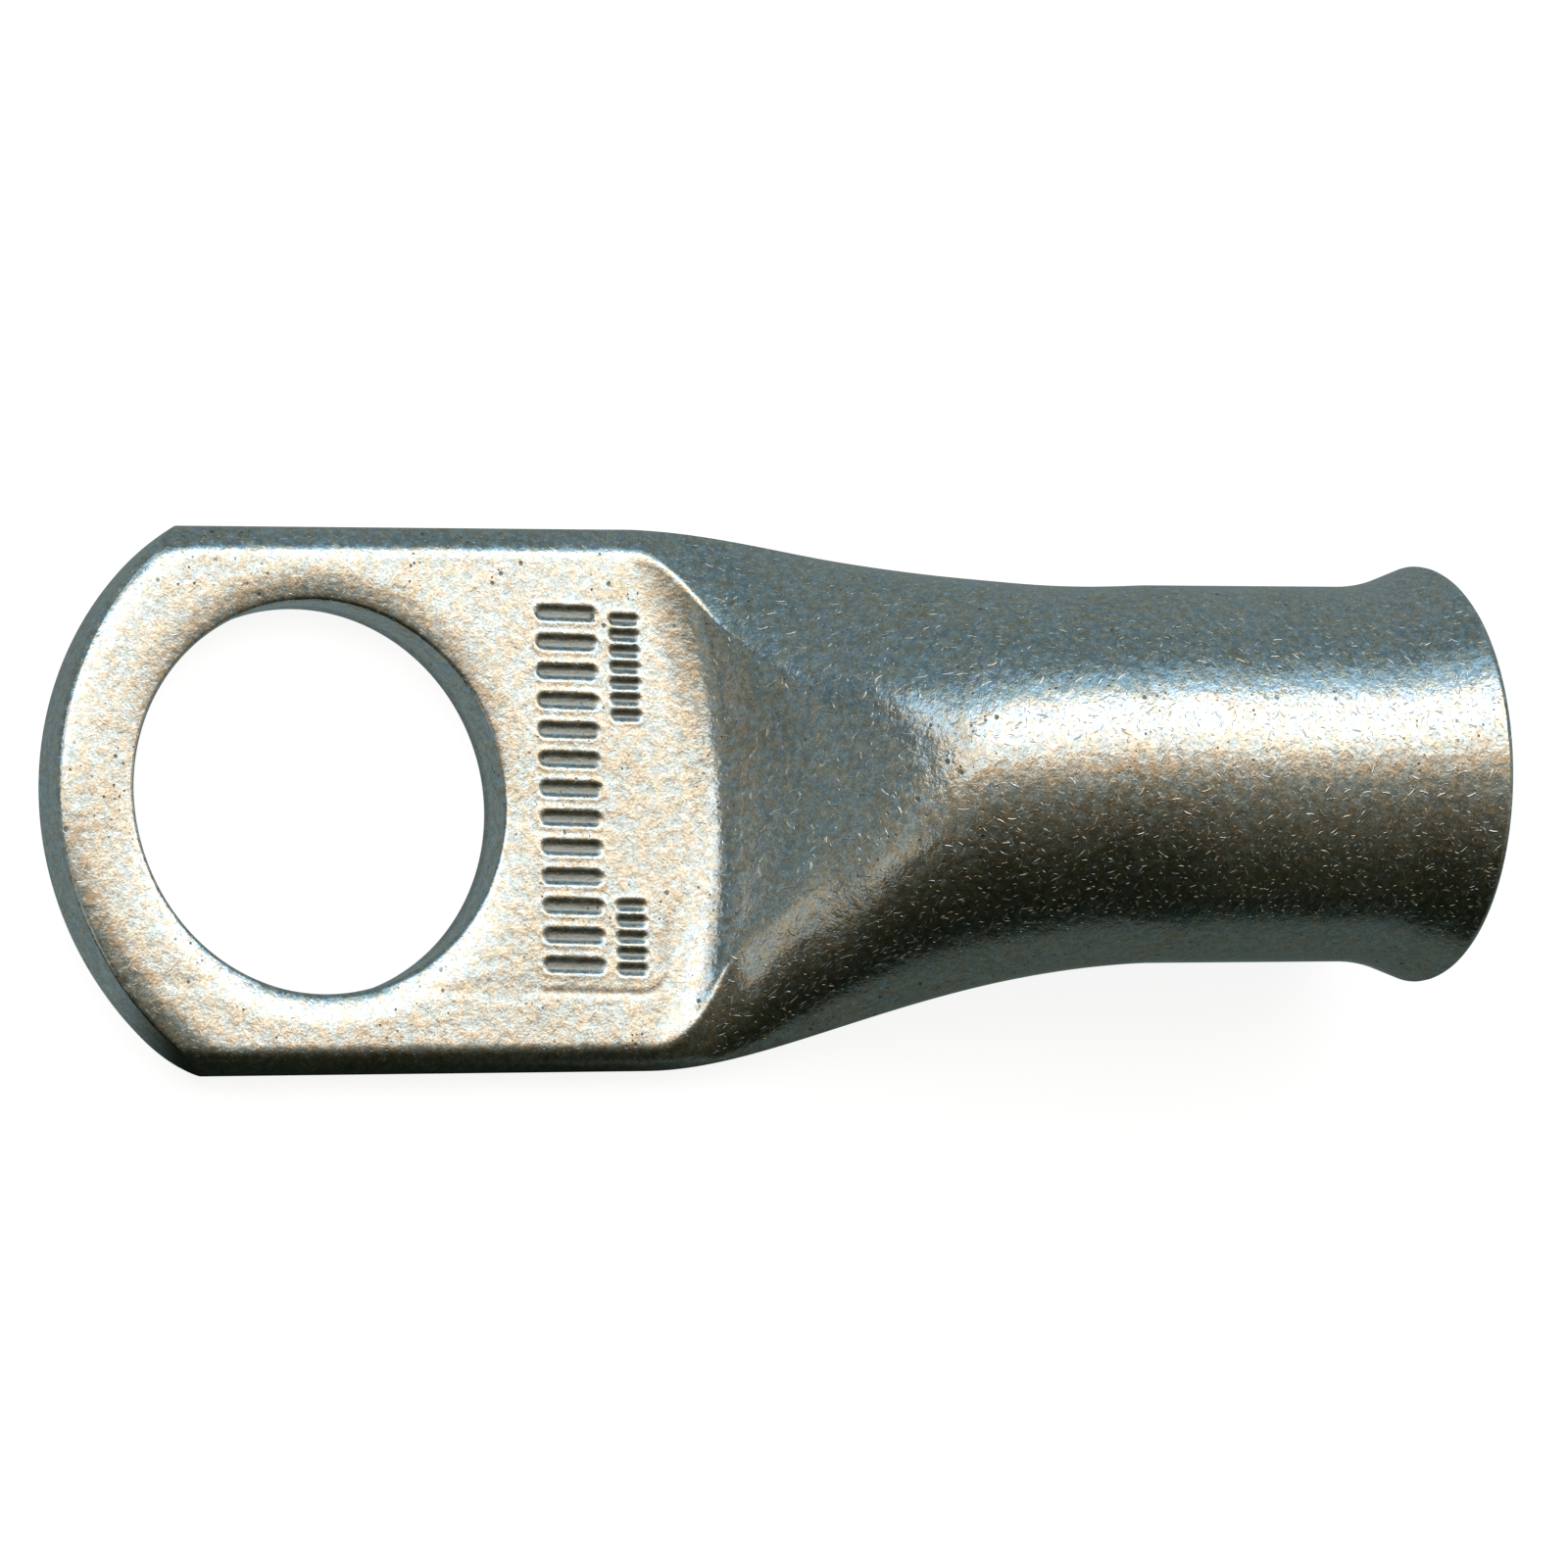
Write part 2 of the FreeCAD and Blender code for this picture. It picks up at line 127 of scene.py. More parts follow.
@dataclass
class Skin:
    """Points, surface coordinates and faces of one closed skin, gathered patch by patch.

    Every patch brings its own points; points that two patches share are merged at the end.
    """

    points: list[Grid] = field(default_factory=list)
    sheets: list[Grid] = field(default_factory=list)
    corners: list[NDArray[np.int64]] = field(default_factory=list)
    count: int = 0

    def add_points(self, points: Grid, sheet: Grid) -> NDArray[np.int64]:
        """Add points with their surface coordinates.

        Args:
            points: Places in millimetres, in any array shape with 3 last.
            sheet: Surface coordinates in millimetres, the same shape with 2 last.

        Returns:
            The points' numbers, in the array's own shape.
        """
        shape = points.shape[:-1]
        numbers = self.count + np.arange(int(np.prod(shape))).reshape(shape)
        self.points.append(points.reshape(-1, 3))
        self.sheets.append(sheet.reshape(-1, 2))
        self.count += numbers.size
        return numbers

    def add_grid(self, points: Grid, sheet: Grid) -> None:
        """Add a grid of four-cornered faces, one between each two rows and two columns.

        Args:
            points: Places in millimetres, rows by columns by 3.
            sheet: Surface coordinates, rows by columns by 2.
        """
        n = self.add_points(points, sheet)
        faces = stack(n[:-1, :-1], n[:-1, 1:], n[1:, 1:], n[1:, :-1])
        self.corners.append(faces.reshape(-1, 4))

    def add_zip(self, first: Grid, second: Grid, first_sheet: Grid, second_sheet: Grid,
                first_share: Grid, second_share: Grid) -> None:
        """Join two edge lines of different point counts with a strip of triangles.

        Walking along both lines at once, each step on one line makes a triangle with the
        point that the walk has reached on the other.

        Args:
            first: Points of one line.
            second: Points of the other line.
            first_sheet: Surface coordinates of the first line.
            second_sheet: Surface coordinates of the second line.
            first_share: How far along the walk each point of the first line is, 0 to 1.
            second_share: The same for the second line.
        """
        a = self.add_points(first, first_sheet)
        b = self.add_points(second, second_sheet)
        met_b = np.searchsorted(second_share[1:], first_share[1:], side="left")
        met_a = np.searchsorted(first_share[1:], second_share[1:], side="right")
        self.corners.append(stack(a[:-1], a[1:], b[met_b], b[met_b]))
        self.corners.append(stack(b[1:], b[:-1], a[met_a], a[met_a]))

    def make_object(self, name: str, merge: float) -> bpy.types.Object:
        """Turn the gathered patches into one merged mesh object with a surface map.

        Args:
            name: The object's name.
            merge: Points nearer than this, in millimetres, become one.

        Returns:
            The new object, linked to the scene.
        """
        points = np.concatenate(self.points) * MILLIMETRE
        sheets = np.concatenate(self.sheets) * MILLIMETRE
        corners = np.concatenate(self.corners)
        is_triangle = corners[:, 2] == corners[:, 3]
        sizes = np.where(is_triangle, 3, 4)
        keep = np.ones(corners.shape, dtype=bool)
        keep[:, 3] = ~is_triangle
        loops = corners[keep]
        mesh = bpy.data.meshes.new(name)
        mesh.vertices.add(len(points))
        mesh.vertices.foreach_set("co", points.astype(np.float32).ravel())
        mesh.loops.add(len(loops))
        mesh.loops.foreach_set("vertex_index", loops.astype(np.int32))
        mesh.polygons.add(len(corners))
        starts = np.concatenate(([0], np.cumsum(sizes)[:-1]))
        mesh.polygons.foreach_set("loop_start", starts.astype(np.int32))
        mesh.update(calc_edges=True)
        surface = mesh.uv_layers.new(name="Surface")
        surface.uv.foreach_set("vector", sheets[loops].astype(np.float32).ravel())
        mesh.validate()
        work = bmesh.new()
        work.from_mesh(mesh)
        bmesh.ops.remove_doubles(work, verts=work.verts, dist=merge * MILLIMETRE)
        bmesh.ops.dissolve_degenerate(work, edges=work.edges, dist=merge * MILLIMETRE)
        bmesh.ops.recalc_face_normals(work, faces=work.faces)
        open_edges = sum(1 for edge in work.edges if not edge.is_manifold)
        volume = work.calc_volume(signed=True) / MILLIMETRE**3
        LOG.info("%s: %d faces, %d open edges, %.0f mm3", name, len(work.faces), open_edges, volume)
        for face in work.faces:
            face.smooth = True
        work.to_mesh(mesh)
        work.free()
        item = bpy.data.objects.new(name, mesh)
        bpy.context.scene.collection.objects.link(item)
        return item


# The lug's shape


# The crest's height at distances along the lug, where both flanks share it
UPPER_CREST: Curve = ((18.1, 9.2), (20.4, 11.2), (22.2, 12.2), (24.2, 13.0), (26.3, 13.55), (28.5, 13.85))


@dataclass(frozen=True)
class LugSizes:
    """Sizes in millimetres and degrees, from the stud hole's centre on the contact face.

    Leads and the cavity's two powers are exponents. A crest is the outside's height at
    distances along the lug, and a shoulder is the power that flattens its flank there.
    """

    stud_radius: float = 6.75
    tongue_thickness: float = 2.1
    tongue_width: float = 18.9
    tip_reach: float = 9.5
    tip_corner: float = 5.02
    bore_radius: float = 5.5
    wall: float = 1.05
    mouth_reach: float = 39.3
    flare_rise: float = 0.85
    flare_length: float = 2.3
    flare_blend: float = 6.0
    lip_radius: float = 0.34
    rest_gap: float = 0.75
    press_start: float = 12.0
    press_end: float = 28.5
    side_bulge: float = 1.5
    foot_reach: float = 14.4
    ramp_angle: float = 67.5
    ramp_radius: float = 40.0
    nose_radius: float = 2.0
    nose_bow: float = 28.0
    seam_reach: float = 15.3
    seam_gap: float = 0.5
    seam_side_wall: float = 1.65
    seam_floor: float = 1.1
    far_lead: float = 1.1
    near_lead: float = 1.21
    height_lead: float = 1.35
    centre_lead: float = 1.6
    low_start: float = 11.0
    low_lead: float = 0.64
    far_crest: Curve = (
        (12.0, 3.45), (13.0, 4.0), (13.8, 4.5), (14.4, 4.75), (15.5, 6.0), (16.6, 7.26), *UPPER_CREST)
    near_crest: Curve = (
        (12.0, 3.85), (13.0, 3.95), (13.8, 4.02), (14.4, 4.15), (15.5, 5.72), (16.6, 7.15), *UPPER_CREST)
    far_shoulder: Curve = (
        (12.0, 1.0), (13.0, 1.3), (14.2, 1.85), (16.6, 1.85), (18.1, 1.65), (20.4, 1.3), (24.2, 1.0))
    near_shoulder: Curve = (
        (12.0, 1.0), (13.0, 1.1), (14.2, 1.35), (16.6, 1.4), (18.1, 1.35), (20.4, 1.25), (24.2, 1.0))
    cavity_opening: float = 2.5
    cavity_narrowing: float = 1.75

    @property
    def tube_radius(self) -> float:
        """The round barrel's outer radius."""
        return self.bore_radius + self.wall

    @property
    def axis_height(self) -> float:
        """How high the barrel's axis stands over the contact face."""
        return self.tube_radius + self.rest_gap

    @property
    def tip_radius(self) -> float:
        """The radius of the tip's arc through its foremost point and its corners."""
        return self.tongue_width**2 / (8.0 * self.tip_corner) + self.tip_corner / 2.0


@dataclass(frozen=True)
class Edges:
    """How the pressed and cut edges are rounded, in millimetres, and where the face ends."""

    hole_roll_width: float = 1.25
    hole_roll_far: float = 0.18
    hole_roll_near: float = 0.28
    hole_roll_along: float = 0.09
    tip_roll_width: float = 1.0
    tip_roll_depth: float = 0.27
    cut_edge: float = 0.18
    long_edge: float = 0.12
    under_edge: float = 0.3
    foot_edge: float = 0.04
    ridge_at_foot: float = 0.12
    ridge_at_top: float = 1.3
    ridge_start: float = 13.2
    ridge_end: float = 20.5
    tip_fade: float = 3.0
    face_share: float = 0.45
    face_end: float = 13.6
    face_end_fade: float = 0.8
    over_face: float = 0.35
    over_face_fade: float = 0.3


@dataclass(frozen=True)
class Swell:
    """A slow, shallow wave of the pressed face: millimetres high, radians for each millimetre."""

    height: float = 0.012
    along: float = 0.9
    along_shift: float = 0.7
    across: float = 0.55
    across_shift: float = 0.4

    def rise(self, x: Grid, y: Grid) -> Grid:
        """Give the wave's depth at places on the face."""
        along = np.sin(self.along * x + self.along_shift)
        return self.height * along * np.sin(self.across * y + self.across_shift)


@dataclass(frozen=True)
class Bars:
    """Rows of plain short bars pressed into the tongue's face, in millimetres."""

    depth: float = 0.10
    lip: float = 0.015
    soft: float = 0.1
    lean: float = 0.03
    first_reach: float = 9.15
    first_middle: float = 0.5
    first_length: float = 2.2
    first_width: float = 0.42
    first_pitch: float = 1.02
    first_count: int = 13
    second_reach: float = 11.3
    second_length: float = 1.05
    second_width: float = 0.28
    second_pitch: float = 0.56
    second_rows: tuple[tuple[float, int], ...] = ((4.8, 7), (-4.6, 5))
    frame_depth: float = 0.025
    frame_reach: float = 12.6
    frame_side: float = 6.55
    frame_corner: float = 0.9
    frame_width: float = 0.13
    frame_start: float = -3.6
    frame_fade: float = 1.2
    last_reach: float = 13.2
    lowest_share: float = 0.8


@dataclass
class PressedLug:
    """One tube, flared at its mouth, pressed flat, sheared and punched for a stud."""

    sizes: LugSizes = field(default_factory=LugSizes)
    edges: Edges = field(default_factory=Edges)
    bars: Bars = field(default_factory=Bars)
    swell: Swell = field(default_factory=Swell)
    join_reach: float = 7.75
    flare_foot: float = 35.6
    bore_start: float = 35.2
    side_angle: float = 30.0
    top_steps: int = 200
    side_steps: int = 28
    under_steps: int = 56
    straight_steps: int = 46
    tip_steps: int = 110
    ring_steps: int = 11
    edge_steps: int = 5
    lip_steps: int = 6
    flare_steps: int = 14
    bore_steps: int = 5
    cavity_steps: int = 26
    bore_columns: int = 96
    row_reaches: Span = (13.0, 19.6)
    row_counts: tuple[int, ...] = (66, 74, 34, 10, 18)
    under_sheet: float = 40.0
    bore_sheet: float = 60.0
    seam_sheet: float = 101.2
    merge: float = 0.004

    # The section at a distance along the lug

    def section_angles(self) -> Grid:
        """Angles of a section's points, from under the axis, up the +Y side and round.

        The top run is even in width, so its points follow the flat face; the sides and the
        underside are even in angle.

        Returns:
            Angles in radians, with the first point repeated at the end.
        """
        side = math.radians(self.side_angle)
        half_under = self.under_steps // 2
        low = np.linspace(-math.pi / 2, -side, half_under, endpoint=False)
        up = np.linspace(-side, side, self.side_steps, endpoint=False)
        across = np.linspace(math.cos(side), -math.cos(side), self.top_steps, endpoint=False)
        down = np.linspace(math.pi - side, math.pi + side, self.side_steps, endpoint=False)
        back = np.linspace(math.pi + side, 1.5 * math.pi, half_under + 1)
        return np.concatenate((low, up, np.arccos(across), down, back))

    def punch_height(self, x: Grid, y: Grid) -> Grid:
        """Height of the punch: a flat face, a rounded nose, then a bulging inclined ramp.

        The nose is bowed in plan, so each place is measured by its distance from an upright
        line behind the tip. The nose is an arc that is tangent to the face and to the ramp,
        and the ramp is an arc of large radius.

        Args:
            x: Distances along the lug.
            y: Distances from the centre plane.

        Returns:
            The punch's heights.
        """
        s = self.sizes
        angle = math.radians(s.ramp_angle)
        behind = s.foot_reach - s.nose_bow
        reach = behind + np.hypot(x - behind, y)
        ramp_x = s.foot_reach + s.ramp_radius * math.sin(angle)
        ramp_z = s.tongue_thickness - s.ramp_radius * math.cos(angle)
        nose_z = s.tongue_thickness + s.nose_radius
        nose_x = ramp_x - math.sqrt((s.ramp_radius + s.nose_radius) ** 2 - (ramp_z - nose_z) ** 2)
        meet = nose_x + (ramp_x - nose_x) * s.nose_radius / (s.ramp_radius + s.nose_radius)
        on_nose = np.clip(reach - nose_x, 0.0, s.nose_radius)
        nose = nose_z - np.sqrt(np.maximum(s.nose_radius**2 - on_nose**2, 0.0))
        on_ramp = np.clip(reach - ramp_x, -s.ramp_radius, 0.0)
        ramp = ramp_z + np.sqrt(np.maximum(s.ramp_radius**2 - on_ramp**2, 0.0))
        return np.where(reach < meet, nose, ramp)

    def flare(self, x: Grid) -> Grid:
        """How far the flared mouth stands outside the straight barrel.

        The flare is a cone that a large arc blends into the barrel.

        Args:
            x: Distances along the lug.

        Returns:
            The rise of the wall's surface.
        """
        s = self.sizes
        slope = math.atan2(s.flare_rise, s.flare_length)
        corner = s.mouth_reach - s.flare_length
        start = corner - s.flare_blend * math.tan(slope / 2.0)
        turned = np.clip(x - start, 0.0, s.flare_blend * math.sin(slope))
        arc = s.flare_blend - np.sqrt(s.flare_blend**2 - turned**2)
        cone = math.tan(slope) * (x - corner)
        return np.where(x > start + s.flare_blend * math.sin(slope), cone, arc)

    def outer_points(self, x: Grid, angle: Grid) -> Grid:
        """Points of the outside: sections that turn round, trimmed by the punch and the flat die.

        Each section is two half ovals that meet at its widest line. That line climbs later
        than the crest does, so a section is full at its foot and rounder at its top. Where the
        tube is folded, the upper half's sine is raised to a power, which flattens its flanks.
        The flank towards +Y is folded a little harder than the one towards -Y.

        Args:
            x: Distances along the lug.
            angle: Angles round the section.

        Returns:
            Points in millimetres.
        """
        s = self.sizes
        e = self.edges
        far = np.cos(angle) > 0.0
        crest = np.where(far, through(s.far_crest, x), through(s.near_crest, x))
        power = np.where(far, through(s.far_shoulder, x), through(s.near_shoulder, x))
        share = (x - s.press_start) / (s.press_end - s.press_start)
        tube = 2.0 * s.tube_radius
        pressed = s.tongue_thickness + 2.0 * s.side_bulge
        middle = s.tongue_thickness / 2.0
        lead = np.where(far, s.far_lead, s.near_lead)
        width = s.tongue_width + (tube - s.tongue_width) * led_ease(share, lead)
        height = pressed + (tube - pressed) * led_ease(share, s.height_lead)
        centre = middle + (s.axis_height - middle) * led_ease(share, s.centre_lead)
        bottom = centre - height / 2.0
        climb = led_ease((x - s.low_start) / (s.press_end - s.low_start), s.low_lead)
        widest = middle + (s.axis_height - middle) * climb
        up = np.sin(angle)
        reach = np.where(up > 0.0, crest - widest, widest - bottom)
        up = np.where(up > 0.0, np.abs(up) ** power, up)
        rise = self.flare(x)
        y = (width / 2.0 + rise) * np.cos(angle)
        z = widest + (reach + rise) * up
        along = ease((x - e.ridge_start) / (e.ridge_end - e.ridge_start))
        flat = ease((e.ridge_start - x) / (e.ridge_start - s.press_start))
        ridge = e.ridge_at_foot + (e.ridge_at_top - e.ridge_at_foot) * along
        blend = ridge + (e.long_edge - ridge) * flat
        top = soft_min(z, self.punch_height(x, y), blend)
        under = soft_max(top, np.zeros_like(top), e.under_edge)
        return stack(x, y, np.where(x < s.press_end, under, z))

    # Forms pressed into the face

    def bar_dent(self, x: Grid, y: Grid, reach: float, side: float, length: float, width: float) -> Grid:
        """Depth of one plain bar with round ends: a soft step over the distance to its centre line.

        Args:
            x: Distances along the lug.
            y: Distances from the centre plane.
            reach: The bar's middle along the lug.
            side: The bar's middle across the lug.
            length: The bar's length along the lug.
            width: The bar's width.

        Returns:
            Depths, with a low lip raised round the bar.
        """
        b = self.bars
        half = (length - width) / 2.0
        along = np.maximum(np.abs(x - reach) - half, 0.0)
        off = np.hypot(along, y - side) - width / 2.0
        lip = np.exp(-(((off - b.soft) / b.soft) ** 2)) * b.lip
        return b.depth * ease(0.5 - off / (2.0 * b.soft)) - lip

    def marks(self, x: Grid, y: Grid) -> Grid:
        """Depth of the two rows of bars and of the faint edge that their stamp leaves.

        Args:
            x: Distances along the lug.
            y: Distances from the centre plane.

        Returns:
            Depths below the tongue's face.
        """
        b = self.bars
        x, y = x - b.lean * y, y + b.lean * x
        depth = np.zeros_like(x)
        for number in range(b.first_count):
            side = b.first_middle + (number - (b.first_count - 1) / 2.0) * b.first_pitch
            depth += self.bar_dent(x, y, b.first_reach, side, b.first_length, b.first_width)
        for centre, count in b.second_rows:
            for number in range(count):
                side = centre + (number - (count - 1) / 2.0) * b.second_pitch
                depth += self.bar_dent(x, y, b.second_reach, side, b.second_length, b.second_width)
        past_x = x - (b.frame_reach - b.frame_corner)
        past_y = -y - (b.frame_side - b.frame_corner)
        round_corner = np.hypot(np.maximum(past_x, 0.0), np.maximum(past_y, 0.0)) - b.frame_corner
        line = np.where((past_x > 0.0) | (past_y > 0.0), round_corner, -b.frame_corner)
        shown = ease((b.frame_start - y) / b.frame_fade)
        return depth + b.frame_depth * shown * np.exp(-((line / b.frame_width) ** 2))

    def relief(self, points: Grid) -> Grid:
        """Lower the face where its cut edges roll over and where it is marked.

        The roll beside the hole and the tip falls with the square of how near the edge is. At
        the hole it is deeper at the two sides than in line with the barrel. A swell keeps the
        pressed face from being a perfect plane.

        Args:
            points: Points of any patch.

        Returns:
            The same points, lowered.
        """
        s = self.sizes
        e = self.edges
        x, y, z = points[..., 0], points[..., 1], points[..., 2]
        from_hole = np.hypot(x, y) - s.stud_radius
        from_tip = s.tip_radius - np.hypot(x - (s.tip_radius - s.tip_reach), y)
        across = y**2 / np.maximum(x**2 + y**2, 1e-6)
        by_hole = np.clip(1.0 - from_hole / e.hole_roll_width, 0.0, 1.0) ** 2
        aside = np.where(y > 0.0, e.hole_roll_far, e.hole_roll_near)
        by_hole = by_hole * (e.hole_roll_along + (aside - e.hole_roll_along) * across)
        by_tip = e.tip_roll_depth * np.clip(1.0 - from_tip / e.tip_roll_width, 0.0, 1.0) ** 2
        by_tip = by_tip * ease((s.tip_radius - s.tip_reach - x) / e.tip_fade)
        on_face = ease((z - 0.5 * s.tongue_thickness) / (e.face_share * s.tongue_thickness))
        near_face = ease((s.tongue_thickness + e.over_face - z) / e.over_face_fade)
        near_face = near_face * ease((e.face_end - x) / e.face_end_fade)
        lowered = by_hole + by_tip + self.marks(x, y) + self.swell.rise(x, y)
        return stack(x, y, z - lowered * on_face * near_face)

    # Patches of the skin

    def along_steps(self) -> Grid:
        """Place the barrel skin's rows, close together where the form turns fast.

        Returns:
            Distances along the lug.
        """
        s = self.sizes
        ends = (self.join_reach, *self.row_reaches, s.press_end, self.flare_foot,
                s.mouth_reach - s.lip_radius)
        parts = [np.linspace(first, last, count, endpoint=False)
                 for first, last, count in zip(ends, ends[1:], self.row_counts)]
        return np.concatenate((*parts, ends[-1:]))

    def add_barrel(self, skin: Skin) -> None:
        """Add the outside from beside the hole to the mouth's lip.

        Its surface coordinates start at the middle of the top.

        Args:
            skin: The skin to add to.
        """
        angles = self.section_angles()
        x, angle = np.meshgrid(self.along_steps(), angles, indexing="ij")
        points = self.relief(self.outer_points(x, angle))
        middle = self.under_steps // 2 + self.side_steps + self.top_steps // 2
        run = walked(points.swapaxes(0, 1)).T
        skin.add_grid(points, stack(x, run[:, middle:middle + 1] - run))

    def add_mouth(self, skin: Skin) -> None:
        """Add the mouth's rounded lip and the flare inside it, and join them to the bore.

        The lip is a quarter circle outside, a flat ring and a quarter circle inside. The bore
        has fewer columns than the outside, so a strip of triangles joins the two.

        Args:
            skin: The skin to add to.
        """
        s = self.sizes
        angles = self.section_angles()
        turn = np.linspace(0.0, math.pi / 2, self.lip_steps)
        bend = s.mouth_reach - s.lip_radius
        rise = float(self.flare(np.array(bend)))
        lip_x = bend + s.lip_radius * np.concatenate((np.sin(turn), np.sin(turn[::-1])))
        drop = s.lip_radius * (1.0 - np.cos(turn))
        lip_r = np.concatenate((rise + s.tube_radius - drop, rise + s.bore_radius + drop[::-1]))
        flare_x = np.linspace(bend, self.flare_foot, self.flare_steps)[1:]
        x = np.concatenate((lip_x, flare_x))[:, None]
        r = np.concatenate((lip_r, s.bore_radius + self.flare(flare_x)))[:, None]
        points = stack(x, r * np.cos(angles), s.axis_height + r * np.sin(angles))
        sheet = stack(self.bore_sheet + walked(stack(x, r)), -s.tube_radius * angles)
        skin.add_grid(points, sheet)

        coarse, cavity, cavity_sheet = self.cavity()
        shares = [(each + math.pi / 2) / (2.0 * math.pi) for each in (angles, coarse)]
        skin.add_zip(points[-1], cavity[0], sheet[-1], cavity_sheet[0], *shares)

    def cavity(self) -> tuple[Grid, Grid, Grid]:
        """Draw the bore and the cavity: ovals that flatten and widen towards the seam.

        Returns:
            The columns' angles, the points (rows by columns by 3) and their surface coordinates.
        """
        s = self.sizes
        coarse = np.linspace(-math.pi / 2, 1.5 * math.pi, self.bore_columns + 1)
        reach = np.concatenate((
            np.linspace(self.bore_start, s.press_end, self.bore_steps, endpoint=False),
            np.linspace(s.press_end, s.seam_reach, self.cavity_steps)))[:, None]
        left = np.clip((s.press_end - reach) / (s.press_end - s.seam_reach), 0.0, 1.0)
        opened = 1.0 - left**s.cavity_opening
        narrowed = 1.0 - left**s.cavity_narrowing
        seam_width = s.tongue_width - 2.0 * s.seam_side_wall
        seam_centre = s.seam_floor + s.seam_gap / 2.0
        width = seam_width + (2.0 * s.bore_radius - seam_width) * narrowed
        height = s.seam_gap + (2.0 * s.bore_radius - s.seam_gap) * opened
        centre = seam_centre + (s.axis_height - seam_centre) * opened
        points = stack(reach, width / 2.0 * np.cos(coarse), centre + height / 2.0 * np.sin(coarse))
        sheet = stack(self.seam_sheet - reach, -s.tube_radius * coarse)
        return coarse, points, sheet

    def add_cavity(self, skin: Skin) -> None:
        """Add the bore and the cavity, and close its pinched end.

        Args:
            skin: The skin to add to.
        """
        _, points, sheet = self.cavity()
        skin.add_grid(points, sheet)
        half = self.bore_columns // 4
        end = points[-1]
        lower = np.concatenate((end[half::-1], end[-2:3 * half - 1:-1]))
        upper = end[half:3 * half + 1]
        skin.add_grid(np.stack((upper, lower)), np.stack((upper[:, :2], lower[:, :2])))

    def outline(self, level_angle: Grid) -> tuple[Grid, Grid]:
        """Plan outlines of the tongue's edge, one for each angle down the side's oval.

        Each outline runs from the barrel skin along the +Y side, round the tip's arc, and
        back along the -Y side. Its half width is that of the oval at the angle, and the
        tip's arc is drawn in where the upper edge is broken.

        Args:
            level_angle: Angles from the top of the side to its foot.

        Returns:
            Points (levels by places by 3) and the outward direction in plan.
        """
        s = self.sizes
        e = self.edges
        angle = level_angle[:, None]
        half = s.tongue_width / 2.0 * np.cos(angle)
        join = np.full_like(angle, self.join_reach)
        far_z = self.outer_points(join, angle)[..., 2]
        near_z = self.outer_points(join, math.pi - angle)[..., 2]
        turn = np.linspace(1.0, -1.0, self.tip_steps + 1)[1:-1]
        straight = np.ones(self.straight_steps + 1)
        z = near_z + (far_z - near_z) * np.concatenate((straight, 0.5 + 0.5 * turn, 0.0 * straight))
        broken = e.cut_edge * np.clip(1.0 - (s.tongue_thickness - far_z) / e.cut_edge, 0.0, 1.0) ** 2
        radius = s.tip_radius - broken
        centre_x = s.tip_radius - s.tip_reach
        spread = np.arcsin(half / radius)
        corner_x = centre_x - np.sqrt(radius**2 - half**2)
        along = np.linspace(0.0, 1.0, self.straight_steps + 1)
        go_x = self.join_reach + (corner_x - self.join_reach) * along
        tip_x = centre_x - radius * np.cos(spread * turn)
        tip_y = radius * np.sin(spread * turn)
        x = np.concatenate((go_x, tip_x, go_x[:, ::-1]), axis=1)
        y = np.concatenate((np.broadcast_to(half, go_x.shape), tip_y,
                            np.broadcast_to(-half, go_x.shape)), axis=1)
        out_x = np.concatenate((np.zeros_like(go_x), -np.cos(spread * turn), np.zeros_like(go_x)), axis=1)
        out_y = np.concatenate((np.ones_like(go_x), np.sin(spread * turn), -np.ones_like(go_x)), axis=1)
        return stack(x, y, z), stack(out_x, out_y)

    def add_tongue(self, skin: Skin) -> None:
        """Add the tongue's face, its side and tip walls, the hole's wall and the underside.

        The face is a ring of straight lines from the hole's edge to the outline. The hole's
        wall has a broken edge at its top and its foot.

        Args:
            skin: The skin to add to.
        """
        s = self.sizes
        e = self.edges
        side = math.radians(self.side_angle)
        levels = np.linspace(side, -side, self.side_steps + 1)
        wall, outward = self.outline(levels)
        wall = self.relief(wall)
        skin.add_grid(wall, wall[:1, :, :2] + outward[:1] * walked(wall)[..., None])

        across = np.linspace(-math.cos(side), math.cos(side), self.top_steps + 1)
        top_join = self.outer_points(np.full_like(across, self.join_reach), np.arccos(across))
        rim = np.concatenate((self.relief(top_join), wall[0, 1:]))
        bearing = np.unwrap(np.arctan2(rim[:, 1], rim[:, 0]))
        broken = np.linspace(0.0, math.pi / 2, self.edge_steps)
        hole_r = np.concatenate((s.stud_radius + e.cut_edge * (1.0 - np.sin(broken)),
                                 [s.stud_radius, s.stud_radius, s.stud_radius + e.foot_edge]))
        hole_z = np.concatenate((s.tongue_thickness - e.cut_edge * (1.0 - np.cos(broken)),
                                 [0.5 * s.tongue_thickness, 1.5 * e.foot_edge, 0.0]))
        radius = hole_r[:, None]
        hole = stack(radius * np.cos(bearing), radius * np.sin(bearing), hole_z[:, None])
        hole = self.relief(hole)
        outward = stack(np.cos(bearing), np.sin(bearing))
        deep = walked(stack(hole_r, hole_z))[:, None, None]
        skin.add_grid(hole, hole[:1, :, :2] - outward * deep)

        share = np.linspace(0.0, 1.0, self.ring_steps + 1)[:, None, None]
        ring = hole[:1] * (1.0 - share) + rim[None] * share
        ring[..., 2] = s.tongue_thickness
        ring = self.relief(ring)
        ring[0], ring[-1] = hole[0], rim
        skin.add_grid(ring, ring[..., :2])

